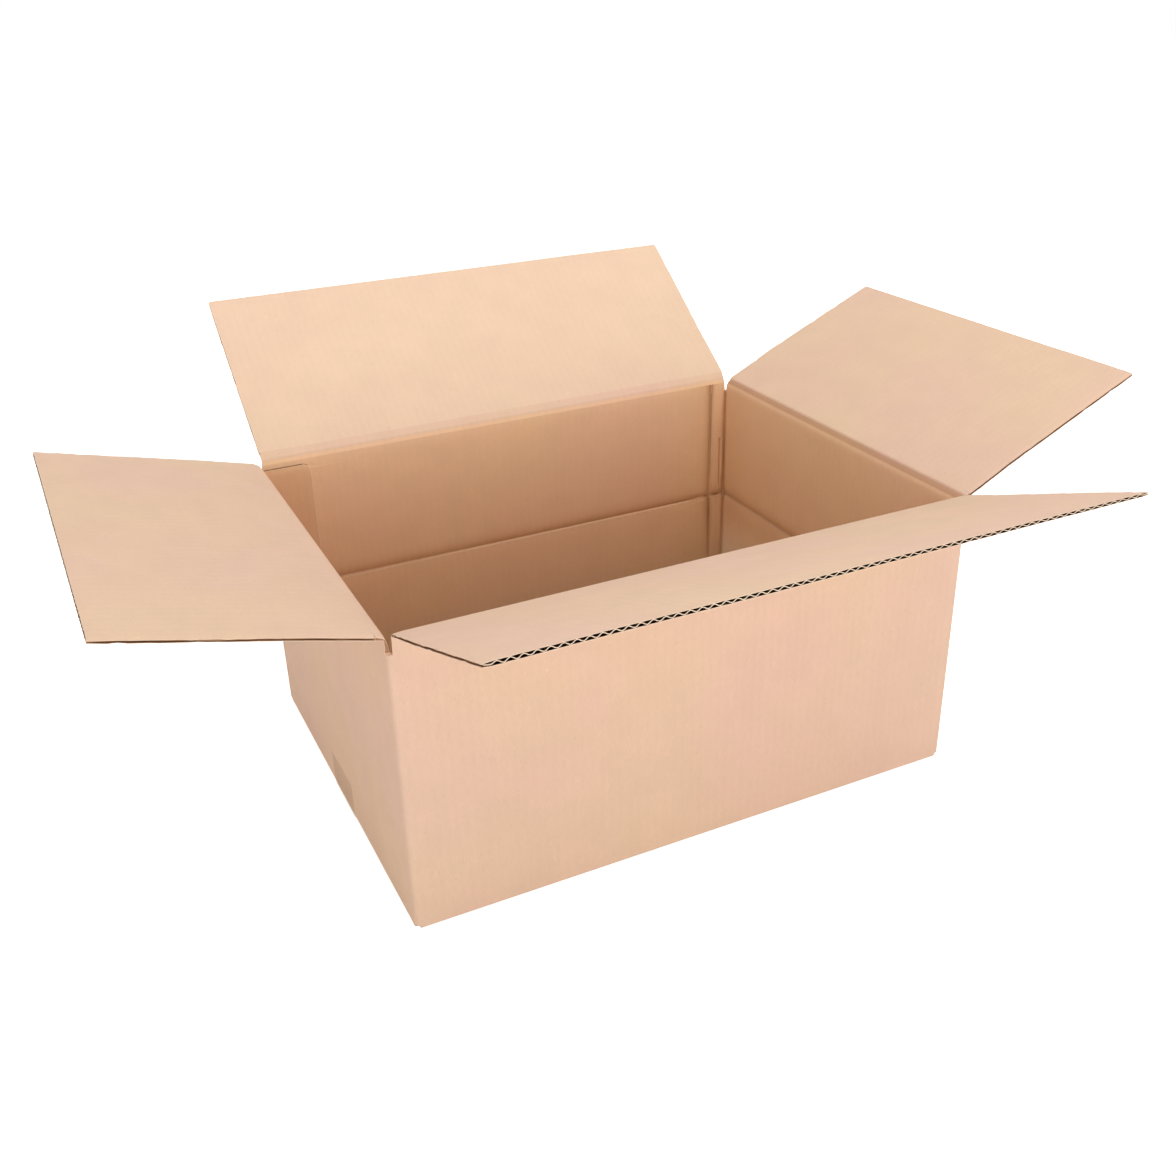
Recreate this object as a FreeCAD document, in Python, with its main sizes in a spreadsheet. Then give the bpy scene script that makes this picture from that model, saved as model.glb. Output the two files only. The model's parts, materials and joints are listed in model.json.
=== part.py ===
import FreeCAD, Part
import os
import Sketcher

# Open cardboard box: one folded sheet of single-wall corrugated board with four closed bottom
# flaps and four open top flaps, and the strip of clear tape that holds its bottom shut.
# +X runs along the front wall, +Y goes from the front wall to the back wall, +Z is up.
# The origin is the middle of the underside. All lengths are millimetres, all angles degrees.

SIZES = {
    # box, inside
    "inner_length": (400.0, "inside, left to right"),
    "inner_width": (300.0, "inside, front to back"),
    "side_crease_height": (203.0, "floor to the top crease of the left and right walls"),
    # corrugated board
    "board_thickness": (3.0, "board, liner to liner"),
    "liner_thickness": (0.35, "each flat liner of the board"),
    "web_thickness": (0.55, "wavy middle layer, measured along the flutes' row"),
    "flute_pitch": (6.5, "one wave of the middle layer, nominal"),
    "flute_crush": (5.5, "length of flap beside its crease where the flutes are pressed shut"),
    # creases and folds
    "hinge_offset": (0.1, "crease axis outside the outer face"),
    "crease_gap": (0.4, "axis plane to each of the two lips of a crease"),
    "crease_lip": (0.1, "flat lip of a crease, outside its bevel"),
    "crease_round": (4.0, "rounding where a crease's bevel meets the inner face"),
    "layer_clearance": (0.3, "air between two layers of board that lie on each other"),
    "fold_radius": (3.0, "outside of the upright folds"),
    "inner_fold_radius": (0.8, "inside of the upright folds"),
    "bottom_fold_radius": (2.0, "outside of the folds round the bottom"),
    # slots between the flaps
    "slot_width": (7.0, "slot between neighbouring flaps, in the flat sheet"),
    "slot_run_in": (7.5, "slot end below the side walls' crease"),
    "bottom_notch": (0.6, "top of the notch at each bottom corner above the folds' rounding"),
    "seam_gap": (1.0, "between the two long flaps when they meet"),
    "side_fold_lift": (0.5, "underside of the side walls above the bottom leaves' underside"),
    # lines pressed into the inside
    "score_height": (100.0, "floor to the level line pressed round the inside"),
    "score_width": (3.0, "width of a pressed line"),
    "score_depth": (0.7, "depth of a pressed line"),
    "press_strip_width": (13.0, "upright pressed line to the back right corner"),
    # glued tab in the back left corner
    "tab_width": (35.0, "glue tab on the back wall"),
    "tab_thickness": (2.0, "glue tab, pressed thinner than the board"),
    "tab_taper": (4.0, "height of the slanted cut at each end of the tab"),
    "tab_clearance": (2.0, "each end of the tab to the closed flap or leaf beside it"),
    "seam_groove": (0.8, "depth and width of the groove where the back wall's raw end starts"),
    # tape
    "tape_width": (48.0, "clear tape"),
    "tape_thickness": (0.15, "clear tape"),
    "tape_turn_up": (27.0, "tape end above the floor, on the left and right walls"),
    # top flaps as they stand in the photograph, leaning outwards from upright
    "front_lean": (69.0, "front flap"),
    "back_lean": (54.0, "back flap"),
    "left_lean": (76.0, "left flap"),
    "right_lean": (66.0, "right flap"),
}

# Sizes that follow from the ones above, as expressions on the sheet's cells.
BOARD = "dims.board_thickness"
HALF_LENGTH_IN = "dims.inner_length / 2"
HALF_WIDTH_IN = "dims.inner_width / 2"
HALF_LENGTH_OUT = f"({HALF_LENGTH_IN} + {BOARD})"
HALF_WIDTH_OUT = f"({HALF_WIDTH_IN} + {BOARD})"
FLAT_LENGTH_IN = "(dims.inner_length - 2 * dims.inner_fold_radius)"
FLAT_WIDTH_IN = "(dims.inner_width - 2 * dims.inner_fold_radius)"
SIDE_CREASE = "dims.side_crease_height"
LONG_CREASE = f"({SIDE_CREASE} + {BOARD} + dims.layer_clearance)"
FLAP_LENGTH = f"({HALF_WIDTH_OUT} + dims.hinge_offset - dims.seam_gap / 2)"
LONG_FLAP_WIDTH = f"(2 * {HALF_LENGTH_OUT} - dims.slot_width)"
SIDE_FLAP_WIDTH = f"(2 * {HALF_WIDTH_OUT} - dims.slot_width)"
SLOT_BOTTOM = f"({SIDE_CREASE} - dims.slot_run_in)"
BEVEL = f"({BOARD} - dims.crease_lip)"
LEAF_UNDERSIDE = "dims.tape_thickness"
LEAF_TOP = f"({LEAF_UNDERSIDE} + {BOARD})"
SIDE_LEAF_UNDERSIDE = f"({LEAF_TOP} + dims.layer_clearance)"
SIDE_LEAF_TOP = f"({SIDE_LEAF_UNDERSIDE} + {BOARD})"
SIDE_WALL_FOOT = f"({LEAF_UNDERSIDE} + dims.side_fold_lift)"
RING_FOOT = f"({SIDE_WALL_FOOT} + dims.bottom_fold_radius + dims.bottom_notch)"
TAB_TOP = f"({SIDE_CREASE} - dims.hinge_offset - {BOARD} - dims.tab_clearance)"
TAB_FOOT = f"({SIDE_LEAF_TOP} + dims.tab_clearance)"

UPRIGHT = FreeCAD.Vector(0, 0, 1)
# Two numbers this close are the same place when an edge is looked for.
NEAR = 1e-4


def make_sheet(doc):
    """The spreadsheet of driving sizes: a plain number, its name and its meaning on each row."""
    sheet = doc.addObject("Spreadsheet::Sheet", "dims")
    for row, (name, (number, meaning)) in enumerate(SIZES.items(), start=1):
        sheet.set(f"A{row}", name)
        sheet.set(f"B{row}", str(number))
        sheet.setAlias(f"B{row}", name)
        sheet.set(f"C{row}", meaning)
    doc.recompute()
    return sheet


def origin_plane(body, role):
    """One of the body's own origin planes or axes."""
    return next(item for item in body.Origin.OriginFeatures if item.Role == role)


def add_sketch(body, name, plane, loops, lift="0"):
    """A sketch of closed outlines, each corner held by two expressions, lifted off its plane."""
    sketch = body.newObject("Sketcher::SketchObject", name)
    sketch.AttachmentSupport = (origin_plane(body, plane), [""])
    sketch.MapMode = "FlatFace"
    sketch.setExpression("AttachmentOffset.Base.z", lift)
    for corners in loops:
        first = sketch.GeometryCount
        points = [
            FreeCAD.Vector(float(sketch.evalExpression(x)), float(sketch.evalExpression(y)), 0)
            for x, y in corners
        ]
        count = len(points)
        for index, point in enumerate(points):
            sketch.addGeometry(Part.LineSegment(point, points[(index + 1) % count]))
        for index, (x, y) in enumerate(corners):
            line = first + index
            following = first + (index + 1) % count
            sketch.addConstraint(Sketcher.Constraint("Coincident", line, 2, following, 1))
            for kind, value, cell in (
                ("DistanceX", points[index].x, x),
                ("DistanceY", points[index].y, y),
            ):
                held = sketch.addConstraint(Sketcher.Constraint(kind, -1, 1, line, 1, value))
                sketch.setExpression(f"Constraints[{held}]", cell)
    return sketch


def add_pad(body, sketch, length, both_ways=False):
    """Material grown from a sketch, along its normal or equally both ways."""
    pad = body.newObject("PartDesign::Pad", sketch.Name + "_pad")
    pad.Profile = sketch
    pad.Midplane = both_ways
    pad.setExpression("Length", length)
    return pad


def add_pocket(body, sketch, length, both_ways=False):
    """Material cut away behind a sketch, or equally both ways; it has to remove something."""
    body.Document.recompute()
    before = body.Shape.Volume
    pocket = body.newObject("PartDesign::Pocket", sketch.Name + "_pocket")
    pocket.Profile = sketch
    pocket.Midplane = both_ways
    pocket.setExpression("Length", length)
    body.Document.recompute()
    if not body.Shape.Volume < before:
        raise RuntimeError(sketch.Name + " cuts nothing")
    return pocket


def add_mirror(body, feature, plane):
    """The same feature on the other side of one of the body's planes."""
    mirror = body.newObject("PartDesign::Mirrored", feature.Name + "_mirror")
    mirror.Originals = [feature]
    mirror.MirrorPlane = (origin_plane(body, plane), [""])
    body.Tip = mirror
    return mirror


def add_fillet(body, name, radius, wanted):
    """Rounds every edge of the body so far for which wanted says yes."""
    body.Document.recompute()
    base = body.Tip
    edges = [f"Edge{i}" for i, edge in enumerate(base.Shape.Edges, start=1) if wanted(edge)]
    if not edges:
        raise RuntimeError(name + " finds no edge")
    fillet = body.newObject("PartDesign::Fillet", name)
    fillet.Base = (base, edges)
    fillet.setExpression("Radius", radius)
    return fillet


def runs_along(edge, direction):
    """Whether an edge is straight and parallel to a direction."""
    if not isinstance(edge.Curve, Part.Line):
        return False
    return edge.Curve.Direction.cross(direction).Length < NEAR


def measure(sheet, expression):
    """The number that an expression on the sheet comes to."""
    return float(sheet.evalExpression(expression))


def make_walls(doc, sheet):
    """Four walls, the four closed bottom leaves and the glue tab: one folded sheet."""
    body = doc.addObject("PartDesign::Body", "box_body")
    body.Label = "box_body"

    # ring of the four walls, up to the ends of the slots
    ring = add_sketch(
        body,
        "wall_ring",
        "XY_Plane",
        [
            rectangle(HALF_LENGTH_OUT, HALF_WIDTH_OUT),
            rectangle(HALF_LENGTH_IN, HALF_WIDTH_IN),
        ],
        RING_FOOT,
    )
    add_pad(body, ring, f"{SLOT_BOTTOM} - {RING_FOOT}")
    outer_x = measure(sheet, HALF_LENGTH_OUT)
    outer_y = measure(sheet, HALF_WIDTH_OUT)

    def outer_fold(edge):
        """An upright outer edge that is a fold: all but the back left one, a raw end."""
        place = edge.CenterOfMass
        upright = runs_along(edge, UPRIGHT)
        outside = abs(abs(place.x) - outer_x) < NEAR and abs(abs(place.y) - outer_y) < NEAR
        raw_end = place.x < 0 < place.y
        return upright and outside and not raw_end

    def inner_fold(edge):
        """An upright inner edge of the ring."""
        return runs_along(edge, UPRIGHT) and abs(edge.CenterOfMass.x) < outer_x - NEAR

    add_fillet(body, "outer_folds", "dims.fold_radius", outer_fold)
    add_fillet(body, "inner_folds", "dims.inner_fold_radius", inner_fold)

    # front and back: from the bevel at the crease down, round the fold and in to the seam
    long_section = add_sketch(
        body,
        "front_section",
        "YZ_Plane",
        [
            [
                (f"-{HALF_WIDTH_OUT}", f"{LONG_CREASE} - dims.crease_gap"),
                (f"-{HALF_WIDTH_OUT}", LEAF_UNDERSIDE),
                ("-dims.seam_gap / 2", LEAF_UNDERSIDE),
                ("-dims.seam_gap / 2", LEAF_TOP),
                (f"-{HALF_WIDTH_IN}", LEAF_TOP),
                (f"-{HALF_WIDTH_IN}", f"{LONG_CREASE} - dims.crease_gap - {BEVEL}"),
                (f"-{HALF_WIDTH_OUT} + dims.crease_lip", f"{LONG_CREASE} - dims.crease_gap"),
            ]
        ],
    )
    add_mirror(body, add_pad(body, long_section, LONG_FLAP_WIDTH, both_ways=True), "XZ_Plane")

    # left and right: the same, but their bottom leaves lie on the long ones
    side_section = add_sketch(
        body,
        "left_section",
        "XZ_Plane",
        [
            [
                (f"-{HALF_LENGTH_OUT}", f"{SIDE_CREASE} - dims.crease_gap"),
                (f"-{HALF_LENGTH_OUT}", SIDE_WALL_FOOT),
                (f"-{HALF_LENGTH_IN}", SIDE_WALL_FOOT),
                (f"-{HALF_LENGTH_IN}", SIDE_LEAF_UNDERSIDE),
                (f"-{HALF_LENGTH_OUT} + {FLAP_LENGTH}", SIDE_LEAF_UNDERSIDE),
                (f"-{HALF_LENGTH_OUT} + {FLAP_LENGTH}", SIDE_LEAF_TOP),
                (f"-{HALF_LENGTH_IN}", SIDE_LEAF_TOP),
                (f"-{HALF_LENGTH_IN}", f"{SIDE_CREASE} - dims.crease_gap - {BEVEL}"),
                (f"-{HALF_LENGTH_OUT} + dims.crease_lip", f"{SIDE_CREASE} - dims.crease_gap"),
            ]
        ],
    )
    add_mirror(body, add_pad(body, side_section, SIDE_FLAP_WIDTH, both_ways=True), "YZ_Plane")
    round_creases(body, sheet)

    # glue tab, pressed flat against the inside of the back wall
    tab_end = f"-{HALF_LENGTH_IN} + dims.tab_width"
    tab = add_sketch(
        body,
        "glue_tab",
        "XZ_Plane",
        [
            [
                (f"-{HALF_LENGTH_IN}", TAB_FOOT),
                (f"{tab_end} - dims.tab_taper", TAB_FOOT),
                (tab_end, f"{TAB_FOOT} + dims.tab_taper"),
                (tab_end, f"{TAB_TOP} - dims.tab_taper"),
                (f"{tab_end} - dims.tab_taper", TAB_TOP),
                (f"-{HALF_LENGTH_IN}", TAB_TOP),
            ]
        ],
        f"-{HALF_WIDTH_IN}",
    )
    add_pad(body, tab, "dims.tab_thickness")

    press_lines(body)
    return body


def rectangle(half_x, half_y):
    """Corners of a rectangle about the origin."""
    return [
        (f"-{half_x}", f"-{half_y}"),
        (half_x, f"-{half_y}"),
        (half_x, half_y),
        (f"-{half_x}", half_y),
    ]


def notch(wall, outwards, level):
    """Corners of a pressed line's V section in a wall that stands at a given place."""
    return [
        (wall, f"{level} - dims.score_width / 2"),
        (f"{wall} {outwards} dims.score_depth", level),
        (wall, f"{level} + dims.score_width / 2"),
    ]


def press_lines(body):
    """The lines pressed into the board: level ones inside, an upright one, and the raw end."""
    for name, plane, half, run in (
        ("long_score", "YZ_Plane", HALF_WIDTH_IN, FLAT_LENGTH_IN),
        ("side_score", "XZ_Plane", HALF_LENGTH_IN, FLAT_WIDTH_IN),
    ):
        sections = [
            notch(f"-{half}", "-", "dims.score_height"),
            notch(half, "+", "dims.score_height"),
        ]
        add_pocket(body, add_sketch(body, name, plane, sections), run, both_ways=True)

    # upright line beside the back right corner
    line = f"({HALF_LENGTH_IN} - dims.press_strip_width)"
    upright_score = add_sketch(
        body,
        "upright_score",
        "XY_Plane",
        [[(y, x) for x, y in notch(HALF_WIDTH_IN, "+", line)]],
        LONG_CREASE,
    )
    add_pocket(body, upright_score, f"{LONG_CREASE} - {SIDE_LEAF_TOP}")

    # raw end of the back wall: an open flute between its liners, and a groove beside the fold
    edge = f"-{HALF_LENGTH_OUT}"
    raw_end = add_sketch(
        body,
        "raw_end",
        "XY_Plane",
        [
            [
                (edge, f"{HALF_WIDTH_IN} - dims.seam_groove / 2"),
                (f"{edge} + dims.seam_groove", HALF_WIDTH_IN),
                (edge, f"{HALF_WIDTH_IN} + dims.seam_groove / 2"),
            ],
            [
                (edge, f"{HALF_WIDTH_IN} + dims.seam_groove / 2 + dims.liner_thickness"),
                (f"{edge} + {BOARD} / 2", f"{HALF_WIDTH_OUT} - dims.liner_thickness"),
                (edge, f"{HALF_WIDTH_OUT} - dims.liner_thickness"),
            ],
        ],
        SLOT_BOTTOM,
    )
    add_pocket(body, raw_end, f"{SLOT_BOTTOM} - {RING_FOOT}")


def round_creases(body, sheet):
    """Rounds the bevels' lower edges at the creases and the folds round the bottom."""
    along_x = FreeCAD.Vector(1, 0, 0)
    along_y = FreeCAD.Vector(0, 1, 0)
    inner_x = measure(sheet, HALF_LENGTH_IN)
    inner_y = measure(sheet, HALF_WIDTH_IN)
    outer_x = measure(sheet, HALF_LENGTH_OUT)
    outer_y = measure(sheet, HALF_WIDTH_OUT)
    long_shoulder = measure(sheet, f"{LONG_CREASE} - dims.crease_gap - {BEVEL}")
    side_shoulder = measure(sheet, f"{SIDE_CREASE} - dims.crease_gap - {BEVEL}")
    long_foot = measure(sheet, LEAF_UNDERSIDE)
    side_foot = measure(sheet, SIDE_WALL_FOOT)

    def at(edge, across, level, direction):
        """Whether an edge runs along a wall at a given distance and height."""
        if not runs_along(edge, direction):
            return False
        place = edge.CenterOfMass
        distance = place.y if direction is along_x else place.x
        return abs(abs(distance) - across) < NEAR and abs(place.z - level) < NEAR

    add_fillet(
        body,
        "crease_shoulders",
        "dims.crease_round",
        lambda edge: at(edge, inner_y, long_shoulder, along_x)
        or at(edge, inner_x, side_shoulder, along_y),
    )
    add_fillet(
        body,
        "bottom_folds",
        "dims.bottom_fold_radius",
        lambda edge: at(edge, outer_y, long_foot, along_x)
        or at(edge, outer_x, side_foot, along_y),
    )


def make_flap(doc, sheet, name, width, place):
    """One top flap, upright in its own frame: its crease axis is X, outwards is +Y."""
    body = doc.addObject("PartDesign::Body", name)
    body.Label = name
    outer_face = "-dims.hinge_offset"
    inner_face = f"(-dims.hinge_offset - {BOARD})"

    # board with the bevel at its crease
    section = add_sketch(
        body,
        name + "_section",
        "YZ_Plane",
        [
            [
                (outer_face, "dims.crease_gap"),
                (outer_face, FLAP_LENGTH),
                (inner_face, FLAP_LENGTH),
                (inner_face, f"dims.crease_gap + {BEVEL}"),
                (f"{outer_face} - dims.crease_lip", "dims.crease_gap"),
            ]
        ],
    )
    add_pad(body, section, width, both_ways=True)
    shoulder = measure(sheet, f"dims.crease_gap + {BEVEL}")

    def at_shoulder(edge):
        """The edge between the bevel and the inner face."""
        place = edge.CenterOfMass
        along_crease = runs_along(edge, FreeCAD.Vector(1, 0, 0))
        return along_crease and abs(place.z - shoulder) < NEAR

    add_fillet(body, name + "_shoulder", "dims.crease_round", at_shoulder)

    # two flutes of the board's middle layer, repeated across the flap; the outermost are cut open
    flutes = f"round({width} / dims.flute_pitch)"
    pitch = f"({width} / {flutes})"
    start = f"-{width} / 2"
    under_outer = f"{outer_face} - dims.liner_thickness"
    under_inner = f"{inner_face} + dims.liner_thickness"
    flute_pair = add_sketch(
        body,
        name + "_flutes",
        "XY_Plane",
        [
            [
                (start, under_outer),
                (f"{start} + {pitch} / 2 - dims.web_thickness", under_inner),
                (f"{start} - {pitch} / 2 + dims.web_thickness", under_inner),
            ],
            [
                (f"{start} + dims.web_thickness", under_outer),
                (f"{start} + {pitch} - dims.web_thickness", under_outer),
                (f"{start} + {pitch} / 2", under_inner),
            ],
        ],
        FLAP_LENGTH,
    )
    flute = add_pocket(body, flute_pair, f"{FLAP_LENGTH} - dims.flute_crush")
    row = body.newObject("PartDesign::LinearPattern", name + "_flute_row")
    row.Originals = [flute]
    row.Direction = (origin_plane(body, "X_Axis"), [""])
    row.setExpression("Length", width)
    row.setExpression("Occurrences", f"{flutes} + 1")
    body.Tip = row

    body.setExpression("Placement", place)
    return body


def hinge_place(x, y, crease, turn, lean):
    """Where a flap's own frame stands: on its crease axis, turned to its wall, leaning out."""
    return (
        f"placement(vector({x}; {y}; {crease}); "
        f"rotation(vector(0; 0; 1); {turn}) * rotation(vector(1; 0; 0); -{lean}))"
    )


def make_flaps(doc, sheet):
    """The four top flaps at the angles of the photograph."""
    axis_x = f"({HALF_LENGTH_OUT} + dims.hinge_offset)"
    axis_y = f"({HALF_WIDTH_OUT} + dims.hinge_offset)"
    flaps = (
        ("front_flap", LONG_FLAP_WIDTH, "0", f"-{axis_y}", LONG_CREASE, 180, "dims.front_lean"),
        ("back_flap", LONG_FLAP_WIDTH, "0", axis_y, LONG_CREASE, 0, "dims.back_lean"),
        ("left_flap", SIDE_FLAP_WIDTH, f"-{axis_x}", "0", SIDE_CREASE, 90, "dims.left_lean"),
        ("right_flap", SIDE_FLAP_WIDTH, axis_x, "0", SIDE_CREASE, -90, "dims.right_lean"),
    )
    return [
        make_flap(doc, sheet, name, width, hinge_place(x, y, crease, turn, lean))
        for name, width, x, y, crease, turn, lean in flaps
    ]


def make_tape(doc):
    """Clear tape along the bottom seam, turned up on to the left and right walls."""
    body = doc.addObject("PartDesign::Body", "bottom_tape")
    body.Label = "bottom_tape"
    skin = "dims.tape_thickness"
    outline = add_sketch(
        body,
        "tape_section",
        "XZ_Plane",
        [
            [
                (f"-{HALF_LENGTH_OUT} - {skin}", "dims.tape_turn_up"),
                (f"-{HALF_LENGTH_OUT} - {skin}", "0"),
                (f"{HALF_LENGTH_OUT} + {skin}", "0"),
                (f"{HALF_LENGTH_OUT} + {skin}", "dims.tape_turn_up"),
                (HALF_LENGTH_OUT, "dims.tape_turn_up"),
                (HALF_LENGTH_OUT, skin),
                (f"-{HALF_LENGTH_OUT}", skin),
                (f"-{HALF_LENGTH_OUT}", "dims.tape_turn_up"),
            ]
        ],
    )
    add_pad(body, outline, "dims.tape_width", both_ways=True)
    return body


def check(doc, parts):
    """Stops if any object failed or any sub-part has no valid shape."""
    doc.recompute()
    for item in doc.Objects:
        if "Invalid" in item.State or "Error" in item.State:
            raise RuntimeError(f"{item.Name} failed: {item.State}")
    for part in parts:
        if part.Shape.isNull() or not part.Shape.isValid():
            raise RuntimeError(f"{part.Label} has no valid shape")
        if len(part.Shape.Solids) != 1:
            raise RuntimeError(f"{part.Label} is not one solid")


def main():
    """Builds the box and writes each sub-part's solid."""
    doc = FreeCAD.newDocument("open_cardboard_box")
    sheet = make_sheet(doc)
    parts = [make_walls(doc, sheet), *make_flaps(doc, sheet), make_tape(doc)]
    check(doc, parts)
    os.makedirs("parts", exist_ok=True)
    for part in parts:
        part.Shape.exportStep(f"parts/{part.Label}.step")
        box = part.Shape.BoundBox
        print(part.Label, round(part.Shape.Volume), box)


main()
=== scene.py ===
import json
import logging
import math
import random
from dataclasses import dataclass, field
from enum import Enum
from functools import reduce
from typing import Any, Callable, Sequence

import bmesh
import bpy
from mathutils import Matrix, Vector

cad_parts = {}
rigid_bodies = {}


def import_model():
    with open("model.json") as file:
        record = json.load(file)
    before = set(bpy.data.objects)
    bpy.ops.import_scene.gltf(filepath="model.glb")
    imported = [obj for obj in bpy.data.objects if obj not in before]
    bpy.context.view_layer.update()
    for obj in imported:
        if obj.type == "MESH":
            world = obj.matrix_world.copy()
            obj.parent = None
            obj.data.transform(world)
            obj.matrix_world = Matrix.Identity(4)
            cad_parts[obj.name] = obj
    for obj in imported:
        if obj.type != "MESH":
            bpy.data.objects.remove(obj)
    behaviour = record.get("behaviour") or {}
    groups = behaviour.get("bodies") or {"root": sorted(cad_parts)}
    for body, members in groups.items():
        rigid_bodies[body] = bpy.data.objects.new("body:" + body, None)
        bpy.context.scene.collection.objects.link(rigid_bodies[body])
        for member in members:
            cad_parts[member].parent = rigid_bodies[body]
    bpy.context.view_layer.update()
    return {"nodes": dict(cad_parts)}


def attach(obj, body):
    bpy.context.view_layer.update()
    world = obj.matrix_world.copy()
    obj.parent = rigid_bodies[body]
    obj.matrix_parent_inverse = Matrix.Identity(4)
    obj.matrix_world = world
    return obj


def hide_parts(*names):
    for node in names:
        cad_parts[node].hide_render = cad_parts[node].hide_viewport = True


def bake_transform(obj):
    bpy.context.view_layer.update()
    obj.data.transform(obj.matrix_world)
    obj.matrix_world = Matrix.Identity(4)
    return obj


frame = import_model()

LOG = logging.getLogger("cardboard_box")
# Pieces are shaped in millimetres and scaled once, when they are put in place.
MM = 0.001

# Sizes of the box, in millimetres, as in the part's source.
INNER_LENGTH = 400.0
INNER_WIDTH = 300.0
BOARD = 3.0
LINER = 0.28
MEDIUM = 0.45
FLUTE_PITCH = 6.5
HINGE_OFFSET = 0.1
SIDE_CREASE = 203.0
LONG_CREASE = 206.3
SLOT_BOTTOM = 195.5
SLOT_WIDTH = 7.0
HALF_LENGTH = INNER_LENGTH / 2 + BOARD
HALF_WIDTH = INNER_WIDTH / 2 + BOARD
FLAP_LENGTH = HALF_WIDTH + HINGE_OFFSET - 0.5
LONG_WIDTH = 2 * HALF_LENGTH - SLOT_WIDTH
SHORT_WIDTH = 2 * HALF_WIDTH - SLOT_WIDTH
OUTER_FACE = -HINGE_OFFSET
INNER_FACE = -HINGE_OFFSET - BOARD
MIDDLE_DEPTH = (INNER_FACE + OUTER_FACE) / 2
# How far the creased strip reaches up each flap, and where the walls end under it.
STRIP_REACH = 5.0
SHEET_HEIGHT = FLAP_LENGTH - STRIP_REACH
WALL_TOP = SLOT_BOTTOM - 0.05
# The attribute that says how much darker the paper is painted where pressed: partly for crushing, partly as
# painted shade in creases and grooves.
CRUSH_AND_SHADE = "crush_and_shade"

Test = Callable[[Vector, Any], bool]
Triple = tuple[float, float, float]
Material = bpy.types.Material
Node = bpy.types.Node
Piece = bpy.types.Object
Socket = bpy.types.NodeSocket
Tree = bpy.types.NodeTree


class Across(Enum):
    """The direction across the board's flutes, in the box's frame."""

    X = 0
    Y = 1
    BY_WALL = 2


def free_all() -> None:
    """Leaves edit mode and deselects every object."""
    if bpy.context.mode != "OBJECT":
        bpy.ops.object.mode_set(mode="OBJECT")
    bpy.ops.object.select_all(action="DESELECT")


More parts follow.
